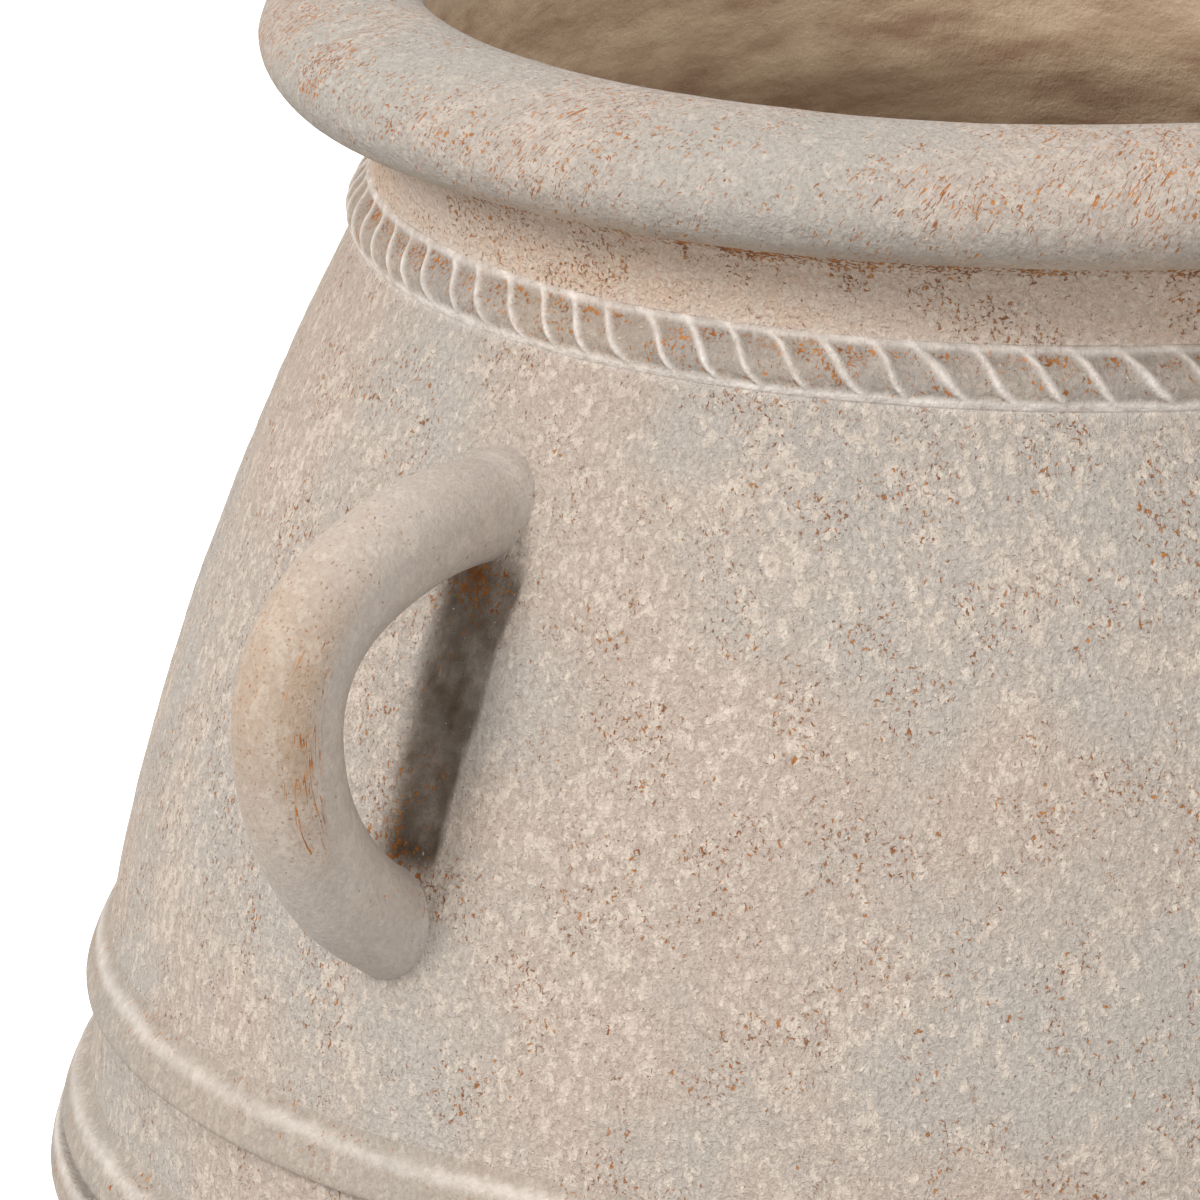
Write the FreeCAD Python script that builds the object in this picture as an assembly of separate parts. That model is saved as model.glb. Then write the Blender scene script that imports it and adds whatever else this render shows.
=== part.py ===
"""A large unglazed storage jar, built up the way a potter builds it.

A round slab carries five thick wall courses, a neck collar and a heavy rolled rim.
Each course is bevelled and luted on to the one below. Applied bands cover the seams,
a rope band pressed with a round stick covers the seam at the neck, and three upright
loop handles bridge the shoulder. Nothing on the jar moves.

Millimetres, +Z up, origin at the centre of the underside. The front handle points along
-Y and the two others stand a third of a turn to either side of it.
"""
import FreeCAD, Part
import math
import os

from FreeCAD import Vector

# Overall sizes
total_height = 760.0
base_radius = 175.0
belly_radius = 297.0
belly_height = 340.0

# Wall
wall_thickness = 20.0
floor_thickness = 26.0
foot_round = 6.0
foot_bow = 1.6
seam_rise = 10.0

# How the outline bows away from its widest place
shoulder_bow_power = 2.0
lower_bow_power = 1.8

# Where seams and bands lie, as shares of the shoulder from belly to rope, or of the lower wall
shoulder_seam_share = 0.617
shoulder_band_share = 0.337
belly_seam_share = 0.181
lower_seam_share = 0.79
foot_seam_share = 0.41

# Neck and rope band, measured down from the top of the rim
rope_foot_drop = 79.5
rope_height = 14.6
rope_proud = 4.0
rope_strands = 92
rope_lean_angle = 34.0
stick_radius = 7.2
stick_bite = 1.8
shoulder_top_radius = 210.0
rope_step = 4.5
neck_thickness = 17.5
neck_waist_depth = 0.8
neck_waist_drop = 57.0

# Rolled rim, measured down from its top
rim_depth = 38.5
rim_flare = 6.5
rim_overhang = 26.5
rim_turn_depth = 4.0
rim_under_drop = 30.2
rim_nose_drop = 20.5
rim_shoulder_drop = 11.0
rim_lip_width = 16.0
rim_lip_drop = 14.0
rim_under_bow = 1.7
rim_top_bow = 2.8
rim_lip_bow = 3.9

# Applied bands: a soft crest near the head, and a face that runs out to a sharp lower lip
band_lip_rise = 2.2
band_face_bow = 0.4
band_crest_bow = 0.9
belly_band_gap = 0.6

shoulder_band_height = 19.5
shoulder_band_crest_fall = 5.3
shoulder_band_crest_proud = 2.8
shoulder_band_lip_proud = 4.8

belly_band_upper_height = 17.5
belly_band_upper_crest_fall = 5.3
belly_band_upper_crest_proud = 4.8
belly_band_upper_lip_proud = 7.0

belly_band_height = 14.5
belly_band_crest_fall = 3.0
belly_band_crest_proud = 8.5
belly_band_lip_proud = 9.5

lower_band_height = 19.5
lower_band_crest_fall = 5.3
lower_band_crest_proud = 2.8
lower_band_lip_proud = 4.8

# Loop handles: a rod that leaves the wall level, arches over, turns down and comes back in
handle_names = ["handle_front", "handle_right", "handle_left"]
handle_count = 3
handle_radius = 16.0
handle_top_drop = 122.2
handle_stand_off = 38.2
handle_arch_radius = 92.0
handle_arch_angle = 33.0
handle_turn_radius = 42.6
handle_foot_radius = 74.0
handle_foot_angle = 54.0
handle_heel_radius = 42.0
handle_heel_angle = 23.0
handle_bite = 30.0

# Places worked out from the sizes above
rope_foot = total_height - rope_foot_drop
rope_top = rope_foot + rope_height
shoulder_rise = rope_foot - belly_height
base_seam_height = floor_thickness - seam_rise
foot_seam_height = belly_height * foot_seam_share
lower_seam_height = belly_height * lower_seam_share
belly_seam_height = belly_height + shoulder_rise * belly_seam_share
shoulder_seam_height = belly_height + shoulder_rise * shoulder_seam_share
shoulder_band_middle = belly_height + shoulder_rise * shoulder_band_share
neck_seam_height = rope_foot + rope_height / 2
rim_seam_height = total_height - rim_depth

neck_radius = shoulder_top_radius - rope_step
mouth_radius = neck_radius - neck_thickness
rim_seat_radius = neck_radius + rim_flare
rim_radius = rim_seat_radius + rim_overhang

seams = [base_seam_height, foot_seam_height, lower_seam_height]
seams += [belly_seam_height, shoulder_seam_height, neck_seam_height]

axis_point = Vector(0, 0, 0)
axis_direction = Vector(0, 0, 1)
across = Vector(0, 1, 0)


def at(radius, height):
    """A point of the section plane through the jar's axis."""
    return Vector(radius, 0, height)


def line(start, end):
    return Part.LineSegment(start, end).toShape()


def arc(start, middle, end):
    return Part.Arc(start, middle, end).toShape()


def bow(start, end, rise):
    """An arc whose middle stands off its chord, to the right on the way from start to end."""
    along = end - start
    off = Vector(along.z, 0, -along.x)
    off.normalize()
    return arc(start, (start + end) / 2 + off * rise, end)


def turned(edges):
    """The solid that a closed outline in the section plane sweeps about the axis."""
    face = Part.Face(Part.Wire(edges))
    return face.revolve(axis_point, axis_direction, 360)


def free_radius(height):
    """Outer radius of the wall where no band is seated on it."""
    if height >= belly_height:
        share = (height - belly_height) / shoulder_rise
        return belly_radius - (belly_radius - shoulder_top_radius) * share ** shoulder_bow_power
    share = (belly_height - height) / belly_height
    return belly_radius - (belly_radius - base_radius) * share ** lower_bow_power


def wall_seat(low, height):
    """A straight cone on the wall: lower and upper height, lower and upper radius."""
    return (low, low + height, free_radius(low), free_radius(low + height))


lower_band_seat = wall_seat(foot_seam_height - lower_band_height / 2, lower_band_height)
belly_band_seat = wall_seat(belly_seam_height - belly_band_gap / 2 - belly_band_height, belly_band_height)
belly_band_upper_seat = wall_seat(belly_seam_height + belly_band_gap / 2, belly_band_upper_height)
shoulder_band_seat = wall_seat(shoulder_band_middle - shoulder_band_height / 2, shoulder_band_height)
rope_seat = (rope_foot, rope_top, shoulder_top_radius, neck_radius)
seats = [lower_band_seat, belly_band_seat, belly_band_upper_seat, shoulder_band_seat, rope_seat]


def outer_point(height):
    """The point of the outer outline at a height, on a seat's straight line or off it."""
    for low, high, low_radius, high_radius in seats:
        if low <= height <= high:
            share = (height - low) / (high - low)
            return at(low_radius + (high_radius - low_radius) * share, height)
    return at(free_radius(height), height)


def inner_point(height):
    if height >= rope_foot:
        return at(mouth_radius, height)
    return at(free_radius(height) - wall_thickness, height)


def outer_edges(low, high):
    """Outer outline between two heights: straight on the seats and bowed between them."""
    stops = {low, high}
    for stop in seams + [end for seat in seats for end in seat[:2]]:
        if low < stop < high:
            stops.add(stop)
    stops = sorted(stops)
    edges = []
    for start, end in zip(stops, stops[1:]):
        middle = (start + end) / 2
        on_seat = any(seat[0] <= middle <= seat[1] for seat in seats)
        if on_seat:
            edges.append(line(outer_point(start), outer_point(end)))
        else:
            edges.append(arc(outer_point(start), outer_point(middle), outer_point(end)))
    return edges


def course(low, high):
    """A wall ring between two bevelled seams, whose inner edges stand seam_rise higher."""
    inner_low = low + seam_rise
    inner_high = high + seam_rise
    edges = outer_edges(low, high)
    edges.append(line(outer_point(high), inner_point(inner_high)))
    inner_middle = inner_point((inner_low + inner_high) / 2)
    edges.append(arc(inner_point(inner_high), inner_middle, inner_point(inner_low)))
    edges.append(line(inner_point(inner_low), outer_point(low)))
    return turned(edges)


def base_slab():
    """The round floor, with its lower edge rounded over and a bevel for the first course."""
    ground = at(base_radius - foot_round, 0)
    edges = [line(at(0, 0), ground)]
    edges.append(bow(ground, outer_point(foot_round), foot_bow))
    edges += outer_edges(foot_round, base_seam_height)
    edges.append(line(outer_point(base_seam_height), inner_point(floor_thickness)))
    edges.append(line(inner_point(floor_thickness), at(0, floor_thickness)))
    edges.append(line(at(0, floor_thickness), at(0, 0)))
    return turned(edges)


def neck_collar():
    """The short hollow neck between the rope seat and the rim."""
    seam = outer_point(neck_seam_height)
    foot = at(neck_radius, rope_top)
    waist = at(neck_radius - neck_waist_depth, total_height - neck_waist_drop)
    top = at(rim_seat_radius, rim_seam_height)
    inner_top = at(mouth_radius, rim_seam_height + seam_rise)
    inner_foot = at(mouth_radius, neck_seam_height + seam_rise)
    edges = [line(seam, foot), arc(foot, waist, top), line(top, inner_top)]
    edges.append(line(inner_top, inner_foot))
    edges.append(line(inner_foot, seam))
    return turned(edges)


def rim_roll():
    """The thick rolled rim: a full round nose outside, a tight lip inside."""
    seat = at(rim_seat_radius, rim_seam_height)
    under = at(rim_radius - rim_turn_depth, total_height - rim_under_drop)
    nose = at(rim_radius, total_height - rim_nose_drop)
    shoulder = at(rim_radius - rim_turn_depth, total_height - rim_shoulder_drop)
    crown = at(mouth_radius + rim_lip_width, total_height)
    lip = at(mouth_radius, total_height - rim_lip_drop)
    inner_seat = at(mouth_radius, rim_seam_height + seam_rise)
    edges = [bow(seat, under, rim_under_bow)]
    edges.append(arc(under, nose, shoulder))
    edges.append(bow(shoulder, crown, rim_top_bow))
    edges.append(bow(crown, lip, rim_lip_bow))
    edges.append(line(lip, inner_seat))
    edges.append(line(inner_seat, seat))
    return turned(edges)


def seat_frame(seat):
    """The lower and upper end of a seat, the way up along it and the way square out of it."""
    low, high, low_radius, high_radius = seat
    foot = at(low_radius, low)
    head = at(high_radius, high)
    up = head - foot
    up.normalize()
    return foot, head, up, Vector(up.z, 0, -up.x)


def applied_band(seat, crest_fall, crest_proud, lip_proud):
    """A strip of clay pressed on to the wall and wiped downwards into a sharp lip."""
    foot, head, up, out = seat_frame(seat)
    lip = foot + up * band_lip_rise + out * lip_proud
    crest = head - up * crest_fall + out * crest_proud
    edges = [line(foot, lip), bow(lip, crest, band_face_bow)]
    edges.append(bow(crest, head, band_crest_bow))
    edges.append(line(head, foot))
    return turned(edges)


def rope_band():
    """The band over the neck seam, pressed all round with a round stick held aslant."""
    foot, head, up, out = seat_frame(rope_seat)
    crest = (foot + head) / 2 + out * rope_proud
    band = turned([arc(foot, crest, head), line(head, foot)])
    lean = math.radians(rope_lean_angle)
    along = up * math.cos(lean) - across * math.sin(lean)
    length = rope_height + stick_radius * 2
    centre = crest + out * (stick_radius - stick_bite)
    stick = Part.makeCylinder(stick_radius, length, centre - along * (length / 2), along)
    step = 360.0 / rope_strands
    for first in (0, 1):
        presses = []
        for index in range(first, rope_strands, 2):
            press = stick.copy()
            press.rotate(axis_point, axis_direction, index * step)
            presses.append(press)
        band = band.cut(Part.makeCompound(presses))
    return band.Solids[0]


def jar_envelope():
    """The jar's outer form, solid to the axis, that the handles are fitted to."""
    edges = [line(at(0, 0), at(base_radius - foot_round, 0))]
    edges.append(line(at(base_radius - foot_round, 0), outer_point(foot_round)))
    edges += outer_edges(foot_round, rope_foot)
    edges.append(line(outer_point(rope_foot), at(0, rope_foot)))
    edges.append(line(at(0, rope_foot), at(0, 0)))
    return turned(edges)


def rod_circle(place, heading):
    circle = Part.Circle(place, heading, handle_radius).toShape()
    return Part.Face(Part.Wire(circle))


def straight_rod(start, end):
    return rod_circle(start, end - start).extrude(end - start)


def bent_rod(start, heading, radius, angle):
    """A length of round rod that bends downwards, and the place and way that it ends with."""
    centre = start + Vector(heading.z, 0, -heading.x) * radius
    rod = rod_circle(start, heading).revolve(centre, across, angle)
    turn = FreeCAD.Rotation(across, angle)
    return rod, centre + turn.multVec(start - centre), turn.multVec(heading)


def loop_handle():
    """One upright loop of round rod: level out of the wall, over, down and back into the wall."""
    arch = math.radians(handle_arch_angle)
    turn_angle = 90 - handle_arch_angle
    foot_angle = math.radians(handle_foot_angle)
    arch_drop = handle_arch_radius * (1 - math.cos(arch))
    turn_drop = handle_turn_radius * math.cos(arch)
    foot_drop = handle_foot_radius * math.sin(foot_angle)
    top = total_height - handle_top_drop
    reach = free_radius(top - arch_drop - turn_drop - foot_drop) + handle_stand_off
    arch_reach = handle_arch_radius * math.sin(arch) + handle_turn_radius * (1 - math.sin(arch))

    root = at(free_radius(top) - handle_bite, top)
    place = at(reach - arch_reach, top)
    heading = Vector(1, 0, 0)
    lengths = [straight_rod(root, place)]
    bends = [
        (handle_arch_radius, handle_arch_angle),
        (handle_turn_radius, turn_angle),
        (handle_foot_radius, handle_foot_angle),
        (handle_heel_radius, handle_heel_angle),
    ]
    for radius, angle in bends:
        rod, place, heading = bent_rod(place, heading, radius, angle)
        lengths.append(rod)
    run = (place.x - free_radius(place.z) + handle_bite) / -heading.x
    lengths.append(straight_rod(place, place + heading * run))
    rod = lengths[0].fuse(lengths[1:]).removeSplitter()
    # The envelope's own seam is turned to the far side, so each end meets one smooth face
    envelope = jar_envelope()
    envelope.rotate(axis_point, axis_direction, 180)
    rod = rod.cut(envelope)
    return max(rod.Solids, key=lambda solid: solid.Volume)


def save(name, shape):
    shape.exportStep("parts/" + name + ".step")
    print(name, "volume", round(shape.Volume), "valid", shape.isValid())


os.makedirs("parts", exist_ok=True)

save("base_slab", base_slab())
save("foot_course", course(base_seam_height, foot_seam_height))
save("lower_course", course(foot_seam_height, lower_seam_height))
save("belly_course", course(lower_seam_height, belly_seam_height))
save("shoulder_course", course(belly_seam_height, shoulder_seam_height))
save("upper_shoulder_course", course(shoulder_seam_height, neck_seam_height))
save("neck_collar", neck_collar())
save("rim_roll", rim_roll())
save("rope_band", rope_band())

save("lower_band", applied_band(
    lower_band_seat, lower_band_crest_fall, lower_band_crest_proud, lower_band_lip_proud))
save("belly_band", applied_band(
    belly_band_seat, belly_band_crest_fall, belly_band_crest_proud, belly_band_lip_proud))
save("belly_band_upper", applied_band(
    belly_band_upper_seat, belly_band_upper_crest_fall,
    belly_band_upper_crest_proud, belly_band_upper_lip_proud))
save("shoulder_band", applied_band(
    shoulder_band_seat, shoulder_band_crest_fall,
    shoulder_band_crest_proud, shoulder_band_lip_proud))

handle = loop_handle()
for index, name in enumerate(handle_names):
    placed = handle.copy()
    placed.rotate(axis_point, axis_direction, 360.0 / handle_count * index - 90)
    save(name, placed)
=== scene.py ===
"""Looks for the storage jar: weathered, lime-washed terracotta, thrown and built by hand.

Lengths are in metres and most are written as a number of millimetres. Every piece of the
jar is a closed mesh that stands for its solid and carries the relief of the real surface.
"""
import math

import bpy
import numpy as np
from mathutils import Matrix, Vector


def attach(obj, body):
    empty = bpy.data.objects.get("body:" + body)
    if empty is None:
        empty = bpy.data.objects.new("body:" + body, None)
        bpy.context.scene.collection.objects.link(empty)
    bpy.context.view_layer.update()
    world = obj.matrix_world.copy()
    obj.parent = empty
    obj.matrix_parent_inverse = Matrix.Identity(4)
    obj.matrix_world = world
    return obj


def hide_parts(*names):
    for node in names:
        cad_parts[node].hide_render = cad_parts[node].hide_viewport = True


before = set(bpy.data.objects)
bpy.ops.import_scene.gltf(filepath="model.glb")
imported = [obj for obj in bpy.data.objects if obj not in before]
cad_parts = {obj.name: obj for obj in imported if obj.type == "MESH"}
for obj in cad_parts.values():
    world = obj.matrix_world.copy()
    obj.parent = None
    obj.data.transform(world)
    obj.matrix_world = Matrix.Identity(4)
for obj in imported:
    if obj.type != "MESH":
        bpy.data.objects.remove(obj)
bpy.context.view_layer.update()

mm = 0.001

# Sizes of the jar, as the solids have them
total_height = 760 * mm
base_radius = 175 * mm
belly_radius = 297 * mm
belly_height = 340 * mm
wall_thickness = 20 * mm
floor_thickness = 26 * mm
foot_round = 6 * mm
seam_rise = 10 * mm
rope_foot = total_height - 79.5 * mm
rope_height = 14.6 * mm
rope_top = rope_foot + rope_height
shoulder_top_radius = 210 * mm
neck_radius = 205.5 * mm
mouth_radius = 188 * mm
rim_depth = 38.5 * mm
rim_seat_radius = 212 * mm
rim_radius = 238.5 * mm
handle_radius = 16 * mm
upper_joint = 617 * mm
lower_joint = 540 * mm

# Seams between the courses
shoulder_rise = rope_foot - belly_height
base_seam = floor_thickness - seam_rise
foot_seam = belly_height * 0.41
lower_seam = belly_height * 0.79
belly_seam = belly_height + shoulder_rise * 0.181
shoulder_seam = belly_height + shoulder_rise * 0.617
neck_seam = rope_foot + rope_height / 2
rim_seam = total_height - rim_depth

# The front handle and the two others, a third of a turn apart
handle_turns = [math.radians(angle) for angle in (-90, 30, 150)]

# Fineness of the meshes
wall_columns = 1024
rim_columns = 1536
strands = 92
columns_per_strand = 24


# Solid noise: smooth values from -1 to 1 at any point, the same on every run
def lattice_gradients(ix, iy, iz, seed):
    """A unit-like gradient for each lattice corner, from whole-number hashing."""
    mixed = (ix * 374761393 + iy * 668265263 + iz * 2147483647 + seed * 974634777) & 0xFFFFFFFF
    mixed = ((mixed ^ (mixed >> 13)) * 1274126177) & 0xFFFFFFFF
    mixed = mixed ^ (mixed >> 16)
    gx = (mixed & 255) / 127.5 - 1
    gy = ((mixed >> 8) & 255) / 127.5 - 1
    gz = ((mixed >> 16) & 255) / 127.5 - 1
    return gx, gy, gz


def noise(points, size, seed=0):
    """Gradient noise whose lumps are about size across; points is an array of x, y, z."""
    places = points / size
    cell = np.floor(places).astype(np.int64)
    part = places - cell
    fade = part * part * part * (part * (part * 6 - 15) + 10)
    total = np.zeros(len(points))
    for dx in (0, 1):
        for dy in (0, 1):
            for dz in (0, 1):
                gx, gy, gz = lattice_gradients(cell[:, 0] + dx, cell[:, 1] + dy, cell[:, 2] + dz, seed)
                dot = gx * (part[:, 0] - dx) + gy * (part[:, 1] - dy) + gz * (part[:, 2] - dz)
                weight = fade[:, 0] if dx else 1 - fade[:, 0]
                weight = weight * (fade[:, 1] if dy else 1 - fade[:, 1])
                weight = weight * (fade[:, 2] if dz else 1 - fade[:, 2])
                total += weight * dot
    return np.clip(total * 1.1, -1, 1)


def layered(points, size, layers, seed=0, keep=0.5):
    """Noise of halving sizes, each layer weaker than the one before."""
    total = np.zeros(len(points))
    weight = 1.0
    for layer in range(layers):
        total += weight * noise(points, size / 2 ** layer, seed + layer)
        weight *= keep
    return total


def smooth_step(low, high, values):
    """Nought up to low, one from high on, and a soft ramp between them."""
    share = np.clip((values - low) / (high - low), 0, 1)
    return share * share * (3 - 2 * share)


# Outlines in the section plane, each an array of radius and height
def free_radius(height):
    """Outer radius of the wall, widest at the belly."""
    height = np.asarray(height, float)
    up = np.clip((height - belly_height) / shoulder_rise, 0, None)
    down = np.clip((belly_height - height) / belly_height, 0, None)
    return np.where(
        height >= belly_height,
        belly_radius - (belly_radius - shoulder_top_radius) * up ** 2,
        belly_radius - (belly_radius - base_radius) * down ** 1.8,
    )


def inner_radius(height):
    """Inner radius of the wall, running softly into the straight throat of the neck."""
    blend = 2.5 * mm
    spare = (free_radius(height) - wall_thickness - mouth_radius) / blend
    return mouth_radius + blend * np.logaddexp(0, spare)


def steps(start, end, spacing):
    """Evenly spaced values from start to end, both included."""
    count = max(2, int(abs(end - start) / spacing) + 1)
    return np.linspace(start, end, count)


def spread(outline, spacing):
    """A finer outline with points about spacing apart along a smooth curve through the given ones."""
    outline = np.asarray(outline, float)
    along = np.concatenate([[0], np.cumsum(np.hypot(*np.diff(outline, axis=0).T))])
    places = steps(0, along[-1], spacing)
    before = np.concatenate([[2 * outline[0] - outline[1]], outline[:-1]])
    after = np.concatenate([outline[1:], [2 * outline[-1] - outline[-2]]])
    gaps = np.diff(along)
    first = np.clip(np.searchsorted(along, places, side="right") - 1, 0, len(gaps) - 1)
    share = ((places - along[first]) / gaps[first])[:, None]
    reach_before = np.concatenate([[gaps[0]], gaps])
    reach_after = np.concatenate([gaps, [gaps[-1]]])
    slope = (after - before) / (reach_before + reach_after)[:, None]
    start, end = outline[first], outline[first + 1]
    pull = gaps[first][:, None]
    lean_start, lean_end = slope[first] * pull, slope[first + 1] * pull
    to_end = 3 * share ** 2 - 2 * share ** 3
    return (start * (1 - to_end) + end * to_end
            + lean_start * (share ** 3 - 2 * share ** 2 + share) + lean_end * (share ** 3 - share ** 2))


def wall_outline(low, high, spacing):
    """The wall's outer outline from one height up to another."""
    heights = steps(low, high, spacing)
    return np.stack([free_radius(heights), heights], 1)


# Relief: how far the clay stands off its outline, in metres, at points in space
def wall_relief(points):
    """Trowelled wall: slow hollows, brushed slurry ridges and coarse grit."""
    angle = np.arctan2(points[:, 1], points[:, 0])
    round_way = angle * 0.27
    slant = np.stack([round_way * 0.55 - points[:, 2] * 0.83, round_way * 0.83 + points[:, 2] * 0.55,
                      np.zeros(len(points))], 1)
    slow = layered(points, 90 * mm, 2, 3)
    brushed_where = smooth_step(0.05, 0.5, noise(points, 120 * mm, 11) + 0.25)
    brushed = noise(slant * np.array([1, 0.22, 1]), 3.4 * mm, 17)
    lumps = layered(points, 14 * mm, 2, 21)
    grit = layered(points, 4.6 * mm, 2, 31, 0.7)
    return (slow * 0.7 + brushed * brushed_where * 0.16 + lumps * 0.22 + grit * 0.13) * mm


def rim_relief(points):
    """Hand-rolled rim: a slight wander in its line, and long finger strokes."""
    slow = layered(points, 110 * mm, 2, 5)
    squeezed = points * np.array([0.6, 0.6, 1.6])
    strokes = layered(squeezed, 16 * mm, 2, 41)
    grit = noise(points, 4.0 * mm, 43)
    return (slow * 1.1 + strokes * 0.22 + grit * 0.06) * mm


def inside_relief(points):
    """Finger-wiped inside: broad level furrows and torn hollows."""
    flat = points * np.array([0.35, 0.35, 1.0])
    furrows = layered(flat, 16 * mm, 3, 51)
    slow = noise(points, 70 * mm, 53)
    return (furrows * 0.8 + slow * 1.2) * mm


# Meshes
def add_object(name, points, faces, node, material, marks=None, normals=None):
    """A closed mesh that stands for a solid, rides on the body and wears one material."""
    mesh = bpy.data.meshes.new(name)
    mesh.vertices.add(len(points))
    mesh.vertices.foreach_set("co", points.astype(np.float32).ravel())
    mesh.loops.add(faces.size)
    mesh.loops.foreach_set("vertex_index", faces.astype(np.int32).ravel())
    mesh.polygons.add(len(faces))
    mesh.polygons.foreach_set("loop_start", np.arange(0, faces.size, faces.shape[1], dtype=np.int32))
    mesh.update(calc_edges=True)
    mesh.validate()
    mesh.polygons.foreach_set("use_smooth", np.ones(len(mesh.polygons), bool))
    for mark, values in (marks or {}).items():
        if np.ndim(values) == 2:
            layer = mesh.attributes.new(mark, "FLOAT_VECTOR", "POINT")
            layer.data.foreach_set("vector", np.asarray(values, np.float32).ravel())
        else:
            layer = mesh.attributes.new(mark, "FLOAT", "POINT")
            layer.data.foreach_set("value", np.asarray(values, np.float32))
    if normals is not None:
        mesh.normals_split_custom_set_from_vertices(normals.tolist())
    mesh.materials.append(material)
    piece = bpy.data.objects.new(name, mesh)
    bpy.context.scene.collection.objects.link(piece)
    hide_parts(node)
    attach(piece, "root")
    return piece


def grid_faces(rows, columns, close_rows):
    """Quads of a grid that is closed round its columns, and round its rows if asked."""
    last = rows if close_rows else rows - 1
    row, column = np.meshgrid(np.arange(last), np.arange(columns), indexing="ij")
    next_row = (row + 1) % rows
    next_column = (column + 1) % columns
    corners = [row * columns + column, row * columns + next_column,
               next_row * columns + next_column, next_row * columns + column]
    return np.stack([corner.ravel() for corner in corners], 1)


def outline_normals(outline, closed):
    """Unit normals to the right of an outline's direction."""
    if closed:
        along = np.roll(outline, -1, 0) - np.roll(outline, 1, 0)
    else:
        along = np.gradient(outline, axis=0)
    off = np.stack([along[:, 1], -along[:, 0]], 1)
    return off / np.maximum(np.linalg.norm(off, axis=1), 1e-12)[:, None]


def grid_normals(points, rows, columns):
    """Normals of an open grid that goes round in its columns, from its neighbours."""
    grid = points.reshape(rows, columns, 3)
    round_way = np.roll(grid, -1, 1) - np.roll(grid, 1, 1)
    up_way = np.gradient(grid, axis=0)
    normal = np.cross(round_way, up_way)
    normal /= np.maximum(np.linalg.norm(normal, axis=2), 1e-12)[:, :, None]
    return normal.reshape(-1, 3)


def swept(outline, columns):
    """Points, or directions, of the section plane carried round the axis, row after row."""
    angles = np.arange(columns) * (2 * math.pi / columns)
    radius = outline[:, 0][:, None]
    x = radius * np.cos(angles)
    y = radius * np.sin(angles)
    z = np.broadcast_to(outline[:, 1][:, None], x.shape)
    return np.stack([x.ravel(), y.ravel(), z.ravel()], 1)


def ring_piece(name, outer, hidden, columns, relief, material,
               hidden_relief=None, marks=None):
    """A ring whose outer outline runs upwards and whose hidden outline runs back down.

    The outer rows carry the relief. The marks are functions of the undisplaced points.
    """
    outline = np.concatenate([outer, hidden])
    base = swept(outline, columns)
    facing = np.concatenate([outline_normals(outer, False), outline_normals(hidden, False)])
    facing = swept(facing, columns)
    shown = len(outer) * columns
    points = base.copy()
    points[:shown] += facing[:shown] * relief(base[:shown])[:, None]
    normals = np.zeros((len(points), 3))
    normals[:shown] = grid_normals(points[:shown], len(outer), columns)
    if hidden_relief is not None:
        points[shown:] += facing[shown:] * hidden_relief(base[shown:])[:, None]
        normals[shown:] = grid_normals(points[shown:], len(hidden), columns)
    faces = grid_faces(len(outline), columns, True)
    values = {}
    for mark, rule in (marks or {}).items():
        values[mark] = rule(base)
    points[:, 2] = np.minimum(points[:, 2], total_height)
    return add_object(name, points, faces, name[:-len("_clay")], material, values, normals)


# Materials
def linear(code):
    """An sRGB hex colour as the linear values that shaders want."""
    values = []
    for start in (1, 3, 5):
        value = int(code[start:start + 2], 16) / 255
        values.append(value / 12.92 if value <= 0.04045 else ((value + 0.055) / 1.055) ** 2.4)
    return (*values, 1.0)


def add(tree, kind, settings, inputs):
    """One node: settings are its own properties; an input takes a value or another node's output."""
    node = tree.nodes.new(kind)
    for key, value in settings.items():
        setattr(node, key, value)
    for key, value in inputs.items():
        if isinstance(value, bpy.types.NodeSocket):
            tree.links.new(value, node.inputs[key])
        else:
            node.inputs[key].default_value = value
    return node


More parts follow.
